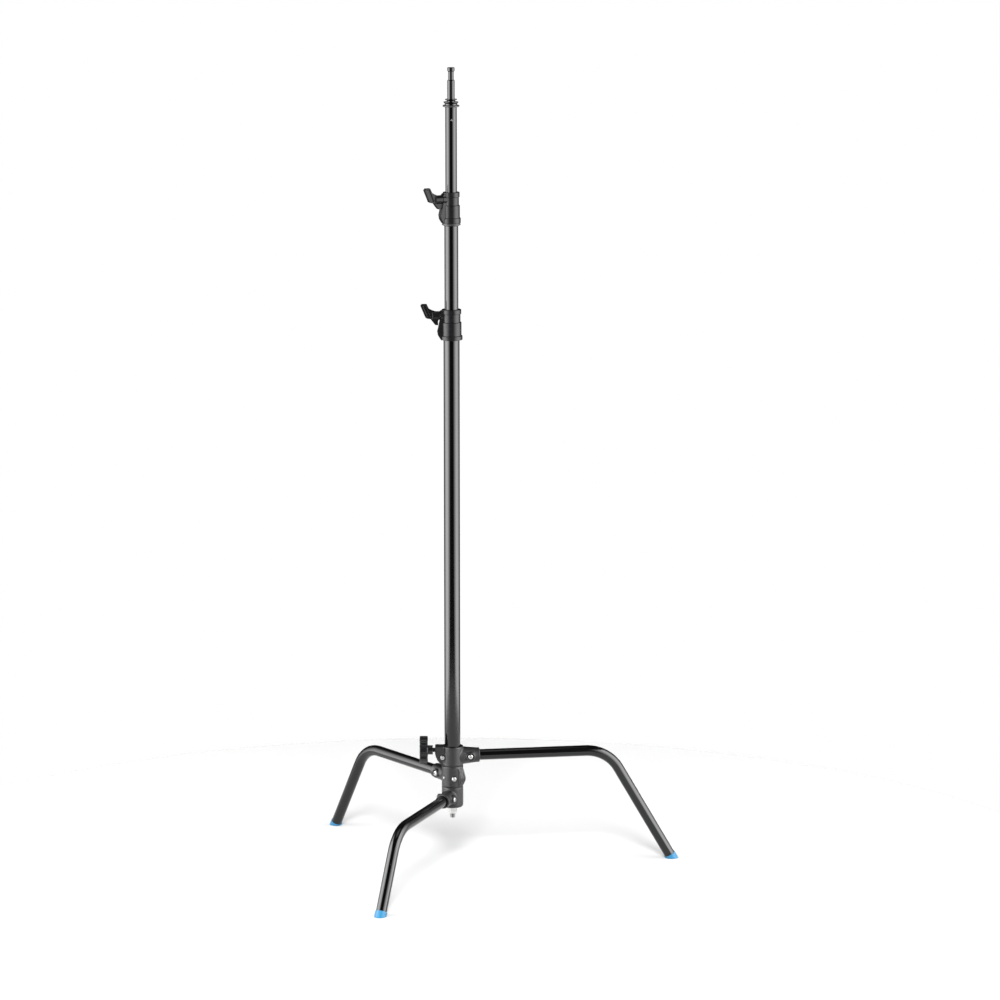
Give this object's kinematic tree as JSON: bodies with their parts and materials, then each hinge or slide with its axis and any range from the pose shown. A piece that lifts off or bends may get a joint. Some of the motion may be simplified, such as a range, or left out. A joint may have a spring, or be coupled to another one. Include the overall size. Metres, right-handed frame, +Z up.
{
  "type": "light stand",
  "caption": "Tall light stand with a folding turtle base on stacked bent legs, a lift-out column, telescopic risers with lever collars and a grooved stud on top.",
  "frame": {"origin": "bottom centre of the stand's box, on the floor under its three feet", "axes": "+Z up along the column, +X along the top leg"},
  "size_m": [0.7482, 0.7684, 1.7844],
  "materials": {
    "tube_black": "gloss black powder coat on steel tube",
    "cast_black": "satin black textured coat on castings",
    "stud_black": "gloss black plated stud",
    "lever_black": "satin black moulded lever",
    "knob_black": "satin black moulded knob",
    "nylon_black": "black nylon",
    "foot_blue": "matte blue rubber",
    "zinc": "bright zinc plated steel",
    "steel": "machined steel",
    "brass": "turned brass"
  },
  "bodies": {
    "base": {"base_top_casting": "cast_black", "base_pivot_sleeve": "steel", "base_end_plug": "steel", "base_tie_bolt": "zinc", "base_tie_nut": "zinc", "base_spring_washer": "zinc", "base_thrust_washers": "nylon_black", "sleeve_lock_bolt": "zinc", "top_leg_tube": "tube_black", "top_leg_foot": "foot_blue", "top_leg_bolt": "zinc", "top_leg_nut": "zinc"},
    "middle_leg": {"middle_leg_casting": "cast_black", "middle_leg_tube": "tube_black", "middle_leg_foot": "foot_blue", "middle_leg_bolt": "zinc", "middle_leg_nut": "zinc", "middle_stop_screw": "zinc", "middle_detent_pin": "zinc"},
    "bottom_leg": {"bottom_leg_casting": "cast_black", "bottom_leg_tube": "tube_black", "bottom_leg_foot": "foot_blue", "bottom_leg_bolt": "zinc", "bottom_leg_nut": "zinc", "bottom_stop_screw": "zinc"},
    "base_pad": {"base_clamp_pad": "brass"},
    "base_knob": {"base_knob": "knob_black", "base_knob_screw": "zinc"},
    "column_cap": {"column_end_cap": "nylon_black"},
    "column": {"column_tube": "tube_black", "collar_1_body": "cast_black", "collar_1_guide_bush": "nylon_black"},
    "collar_1_pad": {"collar_1_clamp_pad": "brass"},
    "collar_1_lever": {"collar_1_lever": "lever_black", "collar_1_clamp_screw": "zinc"},
    "riser_1_bush": {"riser_1_bush": "nylon_black"},
    "riser_1": {"riser_1_tube": "tube_black", "riser_1_bumper": "nylon_black", "collar_2_body": "cast_black", "collar_2_guide_bush": "nylon_black"},
    "collar_2_pad": {"collar_2_clamp_pad": "brass"},
    "collar_2_lever": {"collar_2_lever": "lever_black", "collar_2_clamp_screw": "zinc"},
    "riser_2_bush": {"riser_2_bush": "nylon_black"},
    "riser_2": {"riser_2_tube": "tube_black", "riser_2_bumper": "nylon_black", "top_stud": "stud_black", "top_stud_pin": "zinc"}
  },
  "joints": [
    {"name": "middle_leg_fold", "type": "hinge", "parent": "base", "child": "middle_leg", "pos_m": [-0.13884, -0.01428, 0.212], "axis": [0, 0, 1], "range_deg": [-120, 0]},
    {"name": "bottom_leg_fold", "type": "hinge", "parent": "base", "child": "bottom_leg", "pos_m": [-0.13884, -0.01428, 0.17], "axis": [0, 0, 1], "range_deg": [0, 120]},
    {"name": "base_knob_advance", "type": "slide", "parent": "base", "child": "base_pad", "axis": [-0.9903, 0.1392, 0], "range_m": [0, 0.0045]},
    {"name": "base_knob_turn", "type": "hinge", "parent": "base_pad", "child": "base_knob", "pos_m": [-0.1933, -0.00663, 0.269], "axis": [-0.9903, 0.1392, 0], "range_deg": [0, 1081]},
    {"name": "column_lift", "type": "slide", "parent": "base", "child": "column_cap", "axis": [0, 0, 1], "range_m": [0, 0.11]},
    {"name": "column_swivel", "type": "hinge", "parent": "column_cap", "child": "column", "pos_m": [-0.13884, -0.01428, 0.168], "axis": [0, 0, 1], "continuous": true},
    {"name": "collar_1_lever_advance", "type": "slide", "parent": "column", "child": "collar_1_pad", "axis": [-1, 0, 0], "range_m": [0, 0.0025]},
    {"name": "collar_1_lever_turn", "type": "hinge", "parent": "collar_1_pad", "child": "collar_1_lever", "pos_m": [-0.17884, -0.01428, 1.2455], "axis": [-1, 0, 0], "range_deg": [0, 721]},
    {"name": "riser_1_slide", "type": "slide", "parent": "column", "child": "riser_1_bush", "axis": [0, 0, 1], "range_m": [-0.183, 0.74]},
    {"name": "riser_1_swivel", "type": "hinge", "parent": "riser_1_bush", "child": "riser_1", "pos_m": [-0.13884, -0.01428, 0.382], "axis": [0, 0, 1], "continuous": true},
    {"name": "collar_2_lever_advance", "type": "slide", "parent": "riser_1", "child": "collar_2_pad", "axis": [-0.9563, -0.2924, 0], "range_m": [0, 0.0025]},
    {"name": "collar_2_lever_turn", "type": "hinge", "parent": "collar_2_pad", "child": "collar_2_lever", "pos_m": [-0.17709, -0.02598, 1.5], "axis": [-0.9563, -0.2924, 0], "range_deg": [0, 721]},
    {"name": "riser_2_slide", "type": "slide", "parent": "riser_1", "child": "riser_2_bush", "axis": [0, 0, 1], "range_m": [-0.1845, 0.75]},
    {"name": "riser_2_swivel", "type": "hinge", "parent": "riser_2_bush", "child": "riser_2", "pos_m": [-0.13884, -0.01428, 0.61], "axis": [0, 0, 1], "continuous": true}
  ],
  "couplings": [
    {"joint": "base_knob_turn", "follows": "base_knob_advance", "rad_per_m": 4188.8},
    {"joint": "collar_1_lever_turn", "follows": "collar_1_lever_advance", "rad_per_m": 5026.5},
    {"joint": "collar_2_lever_turn", "follows": "collar_2_lever_advance", "rad_per_m": 5026.5}
  ]
}
